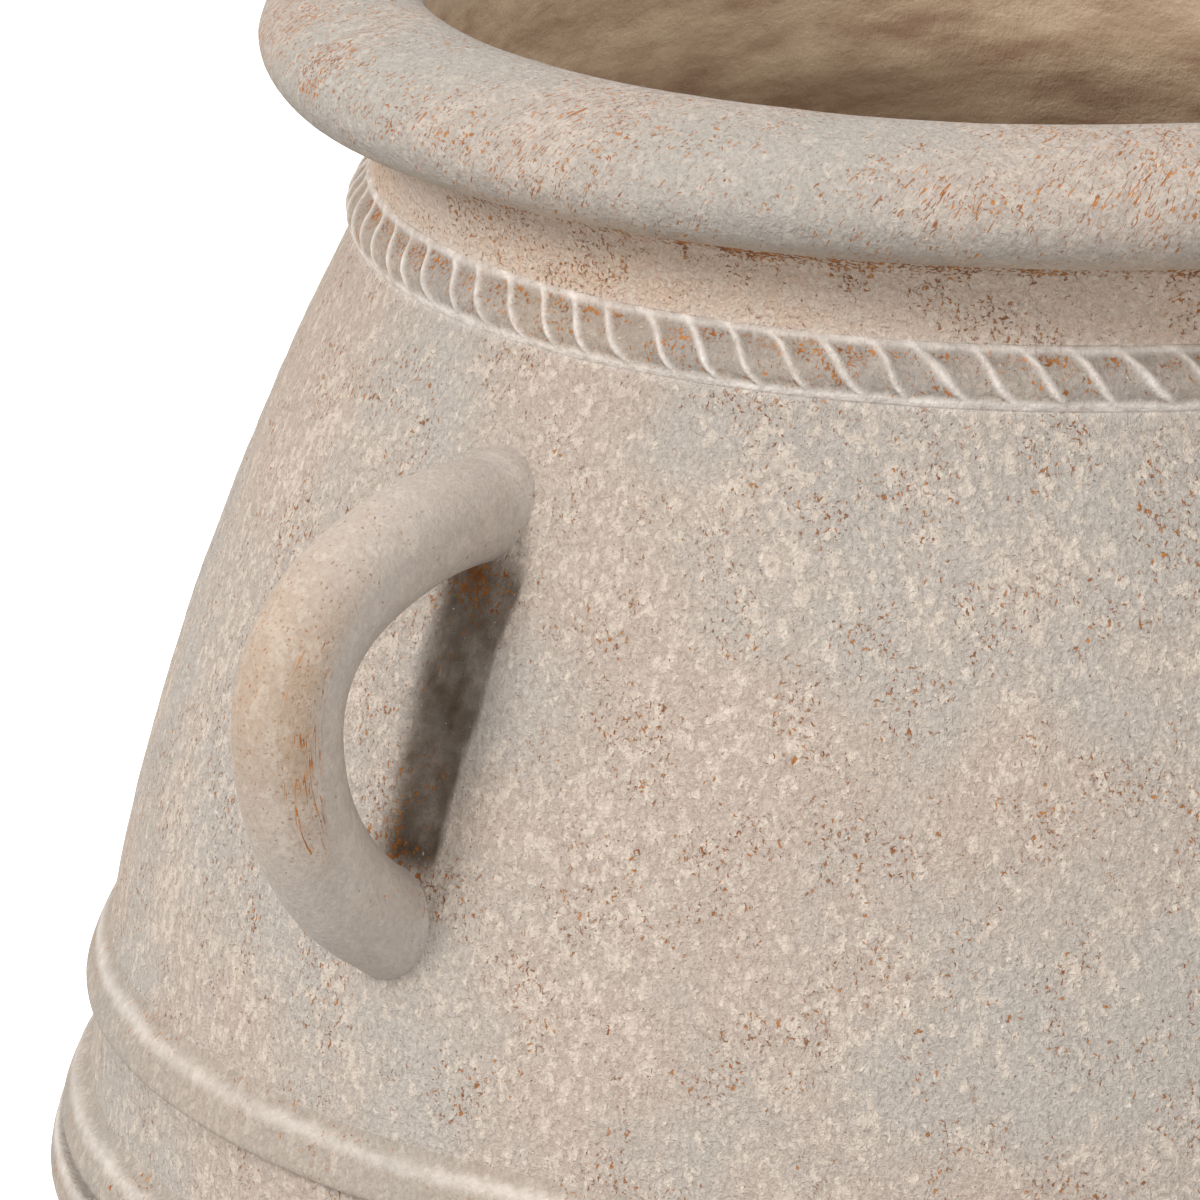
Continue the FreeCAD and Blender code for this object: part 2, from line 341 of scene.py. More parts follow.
def weathered_clay(name, look):
    """Fired red clay under a rubbed lime and ash slurry: matt, mottled, pitted, rust in the pits."""
    material = bpy.data.materials.new(name)
    material.use_nodes = True
    tree = material.node_tree
    tree.nodes.clear()
    maths, vectors = "ShaderNodeMath", "ShaderNodeVectorMath"
    noises, cells = "ShaderNodeTexNoise", "ShaderNodeTexVoronoi"
    ranges, mix = "ShaderNodeMapRange", "ShaderNodeMix"
    multiply, more = {"operation": "MULTIPLY"}, {"operation": "MULTIPLY_ADD"}
    less, most, least = {"operation": "SUBTRACT"}, {"operation": "MAXIMUM"}, {"operation": "MINIMUM"}
    smooth, colours = {"interpolation_type": "SMOOTHSTEP"}, {"data_type": "RGBA"}
    soft_light = {"data_type": "RGBA", "blend_type": "SOFT_LIGHT"}
    place = add(tree, "ShaderNodeTexCoord", {}, {}).outputs["Object"]
    marks = {}
    # the dirt mark brings both dirt and painted shade from the wall behind the handles
    for mark in ("lime", "rust", "smooth", "bare", "dirt_and_painted_shade", "speckle"):
        marks[mark] = add(tree, "ShaderNodeAttribute", {"attribute_name": mark}, {}).outputs["Fac"]
    flow = add(tree, "ShaderNodeAttribute", {"attribute_name": "flow"}, {}).outputs["Vector"]

    # Ragged edges: patterns are looked up as much as 0.8 mm off their place
    ragged = add(tree, noises, {}, {"Vector": place, "Scale": 1 / (2.2 * mm), "Detail": 3.0})
    ragged = add(tree, vectors, less, {0: ragged.outputs["Color"], 1: (0.5, 0.5, 0.5)}).outputs[0]
    reach = (2.6 * mm, 2.6 * mm, 2.6 * mm)
    ragged = add(tree, vectors, more, {0: ragged, 1: reach, 2: place}).outputs[0]
    tall = add(tree, vectors, multiply, {0: ragged, 1: look["stretch"]}).outputs[0]

    # Slow drift of tone between the greyer and the browner clay, about 90 mm
    drift = add(tree, noises, {}, {"Vector": place, "Scale": 1 / (90 * mm), "Detail": 3.0}).outputs[0]
    drift = add(tree, ranges, smooth, {0: drift, 1: 0.38, 2: 0.62, 4: look["drift"]}).outputs[0]
    warm = add(tree, maths, multiply, {0: marks["speckle"], 1: 0.9}).outputs[0]
    drift = add(tree, maths, most, {0: drift, 1: warm}).outputs[0]
    grey_ground, warm_ground = linear(look["ground"]), linear(look["ground_warm"])
    colour = add(tree, mix, colours, {0: drift, 6: grey_ground, 7: warm_ground}).outputs[2]
    # Cream lime patches with ragged edges, thicker in some regions, 45 mm wide, than in others
    where = add(tree, noises, {}, {"Vector": place, "Scale": 1 / (45 * mm), "Detail": 2.0}).outputs[0]
    patch = add(tree, noises, {}, {"Vector": tall, "Scale": 1 / look["patch_size"],
                                   "Detail": 5.0, "Roughness": 0.66}).outputs[0]
    patch = add(tree, maths, more, {0: where, 1: 0.26, 2: patch}).outputs[0]
    from_level = look["patch_from"]
    patch = add(tree, ranges, smooth, {0: patch, 1: from_level, 2: from_level + 0.08}).outputs[0]
    amount = add(tree, maths, multiply, {0: patch, 1: look["patch"]}).outputs[0]
    colour = add(tree, mix, colours, {0: amount, 6: colour, 7: linear(look["lime"])}).outputs[2]
    # Fine grain, about 1 mm, lighter and darker than the ground
    grain = add(tree, noises, {}, {"Vector": tall, "Scale": 1 / (1.4 * mm),
                                   "Detail": 3.0, "Roughness": 0.75}).outputs[0]
    tone = add(tree, ranges, {}, {0: grain, 1: 0.28, 2: 0.72}).outputs[0]
    tone = add(tree, mix, colours, {0: tone, 6: linear("#4f463e"), 7: linear("#d9d2ca")}).outputs[2]
    colour = add(tree, mix, soft_light, {0: look["grain"], 6: colour, 7: tone}).outputs[2]

    # Dirt and painted shade that darken clay and lime alike: behind each loop on the wall, where the
    # handle's shadow falls
    colour = add(tree, mix, colours, {0: marks["dirt_and_painted_shade"], 6: colour, 7: linear("#564839")}).outputs[2]

    # Rust: ragged clumps of bare clay, 0.5 to 2 mm, in clusters about 24 mm wide
    cluster = add(tree, noises, {}, {"Vector": place, "Scale": 1 / (24 * mm),
                                     "Detail": 3.0, "Roughness": 0.6}).outputs[0]
    cluster = add(tree, ranges, smooth, {0: cluster, 1: 0.42, 2: 0.60,
                                         3: look["rust"], 4: look["rust_cluster"]}).outputs[0]
    share = add(tree, maths, more, {0: marks["rust"], 1: 0.18, 2: cluster}).outputs[0]
    share = add(tree, maths, more, {0: marks["smooth"], 1: -0.08, 2: share}).outputs[0]
    clump = add(tree, noises, {}, {"Vector": tall, "Scale": 1 / look["rust_size"],
                                   "Detail": 3.0, "Roughness": 0.6}).outputs[0]
    clump = add(tree, maths, {}, {0: clump, 1: share}).outputs[0]
    rust = add(tree, ranges, smooth, {0: clump, 1: 0.69, 2: 0.77}).outputs[0]
    # Rust in hairlines along the stroke of the hand, 0.5 mm wide
    long_thin = (1 / look["hair_length"], 1 / (0.9 * mm), 1.0)
    stroke = add(tree, vectors, multiply, {0: flow, 1: long_thin}).outputs[0]
    hair = add(tree, noises, {}, {"Vector": stroke, "Scale": 1.0,
                                  "Detail": 3.0, "Distortion": 1.2}).outputs[0]
    hair = add(tree, maths, more, {0: where, 1: 0.30, 2: hair}).outputs[0]
    from_level = look["hair_from"]
    hair = add(tree, ranges, smooth, {0: hair, 1: from_level, 2: from_level + 0.06}).outputs[0]
    rust = add(tree, maths, most, {0: rust, 1: hair}).outputs[0]
    rust_tone = add(tree, noises, {}, {"Vector": place, "Scale": 1 / (5 * mm),
                                       "Detail": 1.0}).outputs[0]
    rust_tone = add(tree, ranges, {}, {0: rust_tone, 1: 0.35, 2: 0.65}).outputs[0]
    dark_rust, light_rust = linear("#8a4e1a"), linear("#bd7628")
    rust_tone = add(tree, mix, colours, {0: rust_tone, 6: dark_rust, 7: light_rust}).outputs[2]
    amount = add(tree, maths, multiply, {0: rust, 1: 0.92}).outputs[0]
    colour = add(tree, mix, colours, {0: amount, 6: colour, 7: rust_tone}).outputs[2]

    # Grit: dark or rusty dots and white flecks, up to 0.6 mm, in cells of 1.5 mm
    dots = add(tree, cells, {}, {"Vector": ragged, "Scale": 1 / (1.5 * mm), "Randomness": 1.0})
    middle_off = dots.outputs["Distance"]
    chance = add(tree, "ShaderNodeSeparateColor", {}, {0: dots.outputs["Color"]}).outputs[0]
    level = add(tree, maths, more, {0: marks["speckle"], 1: 0.6, 2: look["grit"] - 1.0}).outputs[0]
    level = add(tree, maths, {}, {0: chance, 1: level}).outputs[0]
    level = add(tree, maths, least, {0: level, 1: 0.22}).outputs[0]
    level = add(tree, maths, less, {0: level, 1: middle_off}).outputs[0]
    grit = add(tree, ranges, smooth, {0: level, 1: -0.12, 2: 0.06}).outputs[0]
    flecks = add(tree, maths, less, {0: look["flecks"], 1: chance}).outputs[0]
    flecks = add(tree, maths, least, {0: flecks, 1: 0.2}).outputs[0]
    flecks = add(tree, maths, less, {0: flecks, 1: middle_off}).outputs[0]
    flecks = add(tree, ranges, smooth, {0: flecks, 1: -0.14, 2: 0.04}).outputs[0]
    dark_dot, rusty_dot = linear("#5a4a3e"), linear("#9c6a44")
    dot_tone = add(tree, mix, colours, {0: marks["speckle"], 6: dark_dot, 7: rusty_dot}).outputs[2]
    amount = add(tree, maths, multiply, {0: grit, 1: 0.7}).outputs[0]
    colour = add(tree, mix, colours, {0: amount, 6: colour, 7: dot_tone}).outputs[2]
    amount = add(tree, maths, multiply, {0: flecks, 1: 0.6}).outputs[0]
    colour = add(tree, mix, colours, {0: amount, 6: colour, 7: linear("#f1e9e0")}).outputs[2]

    # White worn lime where edges were rubbed, which on the bands' crests is also a painted highlight,
    # and the bare brown of places left unwashed
    worn = add(tree, noises, {}, {"Vector": place, "Scale": 1 / (4 * mm),
                                  "Detail": 3.0, "Roughness": 0.7}).outputs[0]
    worn = add(tree, ranges, {}, {0: worn, 1: 0.30, 2: 0.60, 3: 0.45, 4: look["worn"]}).outputs[0]
    worn = add(tree, maths, multiply, {0: worn, 1: marks["lime"]}).outputs[0]
    colour = add(tree, mix, colours, {0: worn, 6: colour, 7: linear("#eae0d7")}).outputs[2]
    # drawn out along the level strokes of the wiping hand
    flat = add(tree, vectors, multiply, {0: place, 1: (0.6, 0.6, 1.8)}).outputs[0]
    brown = add(tree, noises, {}, {"Vector": flat, "Scale": 1 / (22 * mm),
                                   "Detail": 5.0, "Roughness": 0.65}).outputs[0]
    brown = add(tree, ranges, {}, {0: brown, 1: 0.35, 2: 0.68}).outputs[0]
    dark_brown, light_brown = linear(look["brown_dark"]), linear(look["brown_light"])
    brown = add(tree, mix, colours, {0: brown, 6: dark_brown, 7: light_brown}).outputs[2]
    # under the rim's roll the bare brown is partly painted shade
    colour = add(tree, mix, colours, {0: marks["bare"], 6: colour, 7: brown}).outputs[2]

    # Relief too fine for the mesh, in millimetres: raised patches, grain, sunken rust and grit
    lumps = add(tree, noises, {}, {"Vector": place, "Scale": 1 / (2.8 * mm),
                                   "Detail": 4.0, "Roughness": 0.7}).outputs[0]
    height = add(tree, maths, multiply, {0: patch, 1: 0.10}).outputs[0]
    height = add(tree, maths, more, {0: grain, 1: look["grain_bump"], 2: height}).outputs[0]
    height = add(tree, maths, more, {0: lumps, 1: 1.3, 2: height}).outputs[0]
    height = add(tree, maths, more, {0: rust, 1: -0.22, 2: height}).outputs[0]
    height = add(tree, maths, more, {0: grit, 1: -0.20, 2: height}).outputs[0]
    height = add(tree, maths, more, {0: flecks, 1: 0.10, 2: height}).outputs[0]
    # the bare inside was wiped with a wet hand, so its grain is weaker
    strong = look["bump"]
    strength = add(tree, ranges, {}, {0: marks["bare"], 3: strong, 4: strong * 0.3}).outputs[0]
    bump = add(tree, "ShaderNodeBump", {}, {"Strength": strength, "Distance": 1 * mm,
                                            "Height": height}).outputs[0]
    # fired clay is matt: nearly all its light is scattered, with the faintest sheen at a grazing angle
    shader = add(tree, "ShaderNodeBsdfPrincipled", {}, {
        "IOR": 1.45, "Specular IOR Level": 0.2, "Roughness": 0.9, "Base Color": colour, "Normal": bump})
    add(tree, "ShaderNodeOutputMaterial", {}, {"Surface": shader.outputs[0]})
    return material


# Each look says what the hand and the weather did to that piece of the same red clay:
# the tones of ground and lime, how much lime, rust, grit and fleck it wears, and how rough it is.

# Wall: trowelled, then brushed with lime; cream patches over grey, gritty, bare and brown inside
wall_look = {
    "stretch": (1.0, 1.0, 0.7), "ground": "#beb7b0", "ground_warm": "#c3b5aa", "drift": 1.0,
    "lime": "#e0d4c7", "patch_size": 3.6 * mm, "patch_from": 0.64, "patch": 0.60, "grain": 0.7,
    "rust": 0.01, "rust_cluster": 0.112, "rust_size": 1.3 * mm, "hair_from": 2.0,
    "hair_length": 9 * mm, "grit": 0.18, "flecks": 0.12, "worn": 0.85, "grain_bump": 1.2,
    "bump": 1.2, "brown_dark": "#a2866e", "brown_light": "#d2bb9e",
}
# Rim: rolled and wiped with a wet cloth; smoother and greyer, with slanting hairlines of rust
rim_look = dict(
    wall_look, stretch=(1.0, 1.0, 1.0), ground="#aba59e", ground_warm="#b1a69d", lime="#cec4b9",
    patch=0.32, patch_size=4.6 * mm, grain=0.5, bump=0.8, grain_bump=0.8, hair_from=0.78,
    hair_length=4 * mm, rust=0.045, rust_cluster=0.12, grit=0.12, flecks=0.06)
# Neck: brushed; warmer, and paler than the wall, the paleness painted light against the shade under the
# rim; rusty grit under the rim
neck_look_painted_light = dict(
    wall_look, stretch=(1.0, 1.0, 1.0), ground="#d6c5b7", ground_warm="#d8c1ae", patch=0.5,
    patch_from=0.62, rust=0.02, rust_cluster=0.12, grit=0.20, flecks=0.15)
# Bands: wiped down with a finger; smooth grey faces under a white crest of worn lime and painted
# highlight
band_look = dict(
    wall_look, ground="#a59d94", ground_warm="#a99d92", lime="#cabfb3", patch=0.35, grain=0.5,
    bump=0.7, rust_cluster=0.12, grit=0.10, flecks=0.06)
# Rope band: pressed with a round stick; grey hollows with rust in them, white fins between
rope_look = dict(
    wall_look, ground="#a39b94", ground_warm="#a79b8f", lime="#cabfb3", patch=0.2, grain=0.5,
    bump=0.7, grit=0.08, rust=0.045, rust_cluster=0.10, rust_size=1.1 * mm, worn=1.0)
# Handles: smoothed wet and polished by hands; even grey, browner where they are gripped
handle_look = dict(
    wall_look, ground="#b8b0a9", ground_warm="#ab9784", drift=0.25, lime="#cfc4b8", patch=0.25,
    patch_size=6 * mm, grain=0.4, bump=0.45, grain_bump=0.5, rust=-0.05, rust_cluster=0.05,
    grit=0.05, flecks=0.03, hair_from=0.755)

wall_clay = weathered_clay("trowelled_terracotta_lime_washed", wall_look)
rim_clay = weathered_clay("rolled_terracotta_rim_wiped", rim_look)
neck_clay_painted_light = weathered_clay("brushed_terracotta_neck_painted_light", neck_look_painted_light)
band_clay = weathered_clay("wiped_terracotta_band", band_look)
rope_clay = weathered_clay("pressed_terracotta_rope", rope_look)
handle_clay = weathered_clay("smoothed_terracotta_handle", handle_look)


# Marks on the surface
def inside_mark(base):
    """One on the inner face of the wall, nought on the outside."""
    radius = np.hypot(base[:, 0], base[:, 1])
    middle = inner_radius(base[:, 2]) + 8 * mm
    middle = np.where(base[:, 2] < 60 * mm, free_radius(base[:, 2]) - 10 * mm, middle)
    return 1 - smooth_step(-4 * mm, 2 * mm, radius - middle)


def under_rope_lime(base):
    """A thin white line on the wall just below the rope band."""
    gap = rope_foot - base[:, 2]
    return (1 - smooth_step(0.5 * mm, 2.0 * mm, gap)) * 0.5


def joint_rust(base):
    """Rusty grit on the wall in the corners where the handles meet it."""
    amount = np.zeros(len(base))
    for turn in handle_turns:
        for height, reach, weight in ((upper_joint, 11 * mm, 0.9), (lower_joint, 13 * mm, 0.8)):
            radius = float(free_radius(height))
            corner = np.array([radius * math.cos(turn), radius * math.sin(turn), height])
            off = np.linalg.norm(base - corner, axis=1)
            amount = np.maximum(amount, weight * np.exp(-(off / reach) ** 2))
    return amount


def joint_stain_and_painted_shade(base):
    """Dark dirt, where no hand or rain reaches it, and painted shade on the wall behind each loop; the
    strip's sharper edge follows the handle's shadow.
    """
    amount = np.zeros(len(base))
    angle = np.arctan2(base[:, 1], base[:, 0])
    wall_here = 265 * mm
    climb = (base[:, 2] - lower_joint) / (upper_joint - lower_joint)
    uneven = 2.5 * mm * noise(base, 16 * mm, 96)
    for turn in handle_turns:
        aside = (angle - turn + math.pi) % (2 * math.pi) - math.pi
        aside = aside * wall_here - 3 * mm - 3 * mm * climb
        half = 10 * mm + 5 * mm * climb + uneven
        across = smooth_step(-half - 8 * mm, -half + 5 * mm, aside)
        across = across * (1 - smooth_step(half - 1 * mm, half + 1.5 * mm, aside))
        ends = smooth_step(lower_joint - 4 * mm, lower_joint + 4 * mm, base[:, 2])
        ends = ends * (1 - smooth_step(upper_joint + 1 * mm, upper_joint + 11 * mm, base[:, 2]))
        amount = np.maximum(amount, across * ends)
    return amount * (0.80 + 0.28 * layered(base, 10 * mm, 3, 95, 0.7))


def wall_dirt_and_painted_shade(base):
    """The dirt and painted shade behind the loops, on the outer face only."""
    return np.clip(joint_stain_and_painted_shade(base), 0, 1) * (1 - inside_mark(base))


# The courses of the wall
def wall_course(name, low, high, spacing):
    """One ring of the wall: limed outside, bare inside, marked where the handles join it."""
    outer = wall_outline(low, high, spacing)
    inner_heights = steps(high + seam_rise, low + seam_rise, 4 * mm)
    hidden = np.stack([inner_radius(inner_heights), inner_heights], 1)
    # the dirt mark is dirt and painted shade behind the handle loops
    marks = {"bare": inside_mark, "dirt_and_painted_shade": wall_dirt_and_painted_shade, "lime": under_rope_lime, "rust": joint_rust}
    return ring_piece(name, outer, hidden, wall_columns, wall_relief, wall_clay,
                      inside_relief, marks)


def base_piece():
    """The floor disc with its rounded lower edge, closed at its middle."""
    name = "base_slab_clay"
    turn = np.linspace(0, math.pi / 2, 7)
    edge = np.stack([base_radius - foot_round + foot_round * np.sin(turn),
                     foot_round - foot_round * np.cos(turn)], 1)
    side = wall_outline(foot_round + 1 * mm, base_seam, 2 * mm)
    side[:, 0] = free_radius(side[:, 1])
    ground_radii = steps(2 * mm, base_radius - foot_round - 1 * mm, 8 * mm)
    ground = np.stack([ground_radii, np.zeros(len(ground_radii))], 1)
    outer = np.concatenate([ground, edge, side])
    floor_radii = steps(float(inner_radius(floor_thickness)), 2 * mm, 8 * mm)
    top = np.stack([floor_radii, np.full(len(floor_radii), floor_thickness)], 1)
    outline = np.concatenate([outer, top])
    base = swept(outline, wall_columns)
    facing = swept(outline_normals(outline, True), wall_columns)
    calm = smooth_step(0.5 * mm, 8 * mm, base[:, 2]) * (base[:, 2] < base_seam + 1e-6)
    points = base + facing * (wall_relief(base) * calm)[:, None]
    faces = grid_faces(len(outline), wall_columns, True)
    bare = (base[:, 2] > base_seam + 1 * mm).astype(float)
    return add_object(name, points, faces, "base_slab", wall_clay, {"bare": bare})


base_piece()
wall_course("foot_course_clay", base_seam, foot_seam, 3.0 * mm)
wall_course("lower_course_clay", foot_seam, lower_seam, 3.0 * mm)
wall_course("belly_course_clay", lower_seam, belly_seam, 2.6 * mm)
wall_course("shoulder_course_clay", belly_seam, shoulder_seam, 1.9 * mm)
wall_course("upper_shoulder_course_clay", shoulder_seam, neck_seam, 1.7 * mm)


# Neck and rim
def neck_piece():
    """The hollow neck, rising into the crease under the rim."""
    name = "neck_collar_clay"
    outer = spread([
        (free_radius(rope_foot) - 2.2 * mm, neck_seam),
        (neck_radius + 0.2 * mm, rope_top),
        (neck_radius - 0.8 * mm, total_height - 59 * mm),
        (neck_radius - 0.3 * mm, total_height - 50 * mm),
        (neck_radius + 2.1 * mm, total_height - 42.5 * mm),
        (rim_seat_radius, rim_seam),
    ], 1.2 * mm)
    inner_heights = steps(rim_seam + seam_rise, neck_seam + seam_rise, 4 * mm)
    hidden = np.stack([inner_radius(inner_heights), inner_heights], 1)

    def crease_rust(base):
        drop = rim_seam - base[:, 2]
        return (1 - smooth_step(0.5 * mm, 6 * mm, drop)) * 0.85 + 0.10 + drip(base, drop)

    def drip(base, drop):
        # one run of rust below the crease, 3 mm wide and 9 mm long
        angle = np.arctan2(base[:, 1], base[:, 0]) + math.radians(76.5)
        run = np.exp(-(angle * neck_radius / (1.8 * mm)) ** 2)
        return run * (1 - smooth_step(6 * mm, 11 * mm, drop))

    def rope_lime(base):
        # lime has gathered in the corner above the rope band
        return (1 - smooth_step(0.5 * mm, 6 * mm, base[:, 2] - rope_top)) * 0.4

    # the neck's paler ground is painted light against the shade under the rim
    return ring_piece(name, outer, hidden, rim_columns, wall_relief, neck_clay_painted_light,
                      inside_relief, {"bare": inside_mark, "rust": crease_rust, "lime": rope_lime})


def rim_piece():
    """The heavy rolled rim: flat-topped, round-nosed, flattened a little underneath."""
    name = "rim_roll_clay"
    top = total_height
    outer = spread([
        (rim_seat_radius, rim_seam),
        (218.8 * mm, top - 37.0 * mm),
        (227.6 * mm, top - 34.6 * mm),
        (234.3 * mm, top - 30.3 * mm),
        (237.9 * mm, top - 25.0 * mm),
        (rim_radius, top - 19.5 * mm),
        (234.7 * mm, top - 11.2 * mm),
        (225.7 * mm, top - 4.6 * mm),
        (214.0 * mm, top - 0.9 * mm),
        (203.0 * mm, top - 0.1 * mm),
        (193.6 * mm, top - 3.0 * mm),
        (189.0 * mm, top - 10.0 * mm),
        (mouth_radius, top - 18.0 * mm),
        (mouth_radius, rim_seam + seam_rise),
    ], 1.25 * mm)
    hidden = np.array([(mouth_radius + 6 * mm, rim_seam + seam_rise * 0.72),
                       (mouth_radius + 14 * mm, rim_seam + seam_rise * 0.38)])

    def lip_bare_and_underside_shade(base):
        radius = np.hypot(base[:, 0], base[:, 1])
        drop = top - base[:, 2]
        # the throat is bare, and the wiped underside is half so: warmer clay and painted shade under
        # the roll
        throat = 1 - smooth_step(-1 * mm, 3.5 * mm, radius - mouth_radius)
        throat = throat * smooth_step(9 * mm, 15 * mm, drop)
        return np.maximum(throat, smooth_step(26 * mm, 37 * mm, drop) * 0.45)

    def crease_rust(base):
        radius = np.hypot(base[:, 0], base[:, 1])
        drop = top - base[:, 2]
        low = smooth_step(26 * mm, 36 * mm, drop)
        # the nose of the roll is rusty for a hand's width beside the front handle
        angle = np.arctan2(base[:, 1], base[:, 0]) + math.radians(104)
        worn = np.exp(-(angle / math.radians(24)) ** 2) * smooth_step(1 * mm, 8 * mm, drop)
        worn = worn * (1 - smooth_step(20 * mm, 26 * mm, drop)) * 0.32
        return low * (1 - smooth_step(214 * mm, 226 * mm, radius)) * 0.6 + worn

    def wiped_smooth(base):
        # a finger ran round the lower half of the nose
        drop = top - base[:, 2]
        return smooth_step(17 * mm, 23 * mm, drop) * (1 - smooth_step(33 * mm, 36 * mm, drop))

    legs = np.diff(np.concatenate([outer, hidden]), axis=0)
    along = np.concatenate([[0], np.cumsum(np.hypot(*legs.T))])

    def stroke_flow(base):
        # hairlines of rust slant across the roll, 30 degrees off its section
        across = np.repeat(along, rim_columns)
        round_way = np.arctan2(base[:, 1], base[:, 0]) * rim_radius
        down_stroke = across * 0.87 + round_way * 0.5
        off_stroke = round_way * 0.87 - across * 0.5
        return np.stack([down_stroke, off_stroke, np.zeros(len(base))], 1)

    def relief(base):
        # the throat inside runs on from the neck's
        throat = smooth_step(16 * mm, 26 * mm, top - base[:, 2])
        throat = throat * (np.hypot(base[:, 0], base[:, 1]) < mouth_radius + 3 * mm)
        return rim_relief(base) * (1 - throat) + inside_relief(base) * throat

    marks = {"bare": lip_bare_and_underside_shade, "rust": crease_rust, "smooth": wiped_smooth, "flow": stroke_flow}
    return ring_piece(name, outer, hidden, rim_columns, relief, rim_clay,
                      None, marks)


neck_piece()
rim_piece()


# Applied bands
def band_piece(name, low, height, crest_fall, crest_proud, lip_proud):
    """A strip wiped down over its lower edge: a rubbed crest with worn lime and a painted highlight, a
    smooth face, a sharp lip.
    """
    foot = np.array([float(free_radius(low)), low])
    head = np.array([float(free_radius(low + height)), low + height])
    up = (head - foot) / np.linalg.norm(head - foot)
    out = np.array([up[1], -up[0]])

    def spot(rise, proud):
        return foot + up * rise + out * proud

    crest_at = height - crest_fall
    face = lip_proud - crest_proud
    shown = spread([
        spot(0.3 * mm, -0.6 * mm),
        spot(1.0 * mm, lip_proud * 0.45),
        spot(1.7 * mm, lip_proud - 0.5 * mm),
        spot(2.8 * mm, lip_proud),
        spot(4.6 * mm, lip_proud - 0.05 * mm),
        spot(2.8 * mm + (crest_at - 2.8 * mm) * 0.6, crest_proud + face * 0.42 + 0.25 * mm),
        spot(crest_at - 0.8 * mm, crest_proud + 0.1 * mm),
        spot(crest_at + 1.2 * mm, crest_proud - 0.5 * mm),
        spot(height - 1.8 * mm, crest_proud * 0.28),
        spot(height + 0.4 * mm, 0.15 * mm),
        spot(height + 3.0 * mm, -0.5 * mm),
    ], 0.8 * mm)
    hidden = np.array([spot(height * 0.8, -2.5 * mm), spot(height * 0.2, -2.5 * mm)])

    def relief(points):
        line = layered(points * np.array([0.4, 0.4, 1.0]), 60 * mm, 3, 61)
        rise = points[:, 2] - low
        joined = smooth_step(crest_at + 1 * mm, height + 1 * mm, rise)
        fine = noise(points, 5 * mm, 63) * 0.05 * mm
        return wall_relief(points) * np.maximum(joined, 0.25) + line * 0.35 * mm + fine

    # a white line along the crest: worn lime and a painted highlight where the crest catches the light
    def crest_lime_and_painted_highlight(base):
        rise = base[:, 2] - low
        wander = noise(base * np.array([1, 1, 0.3]), 35 * mm, 71) * 0.9 * mm
        off = np.abs(rise - crest_at * abs(up[1]) - 0.6 * mm - wander)
        off = off + 0.9 * mm * noise(base, 5 * mm, 75)
        return (1 - smooth_step(0.2 * mm, 3.4 * mm, off)) * (0.46 + 0.4 * noise(base, 30 * mm, 73))

    def wiped_smooth(base):
        rise = base[:, 2] - low
        return 1 - smooth_step(crest_at - 1 * mm, crest_at + 2 * mm, rise)

    def under_rust(base):
        rise = base[:, 2] - low
        off = np.abs(rise - (crest_at - 3.2 * mm))
        return (1 - smooth_step(0.5 * mm, 2.2 * mm, off)) * 0.55

    return ring_piece(name, shown, hidden, wall_columns, relief, band_clay, None,
                      {"lime": crest_lime_and_painted_highlight, "smooth": wiped_smooth, "rust": under_rust})


# The pair at the belly meets over a hairline gap; the single bands share one section
half_gap = 0.3 * mm
shoulder_band_middle = belly_height + shoulder_rise * 0.337
single_band = {"height": 19.5 * mm, "crest_fall": 5.3 * mm,
               "crest_proud": 2.8 * mm, "lip_proud": 4.8 * mm}
band_piece("lower_band_clay", foot_seam - single_band["height"] / 2, **single_band)
band_piece("belly_band_clay", belly_seam - half_gap - 14.5 * mm,
           height=14.5 * mm, crest_fall=3.0 * mm, crest_proud=8.5 * mm, lip_proud=9.5 * mm)
band_piece("belly_band_upper_clay", belly_seam + half_gap,
           height=17.5 * mm, crest_fall=5.3 * mm, crest_proud=4.8 * mm, lip_proud=7.0 * mm)
band_piece("shoulder_band_clay", shoulder_band_middle - single_band["height"] / 2, **single_band)


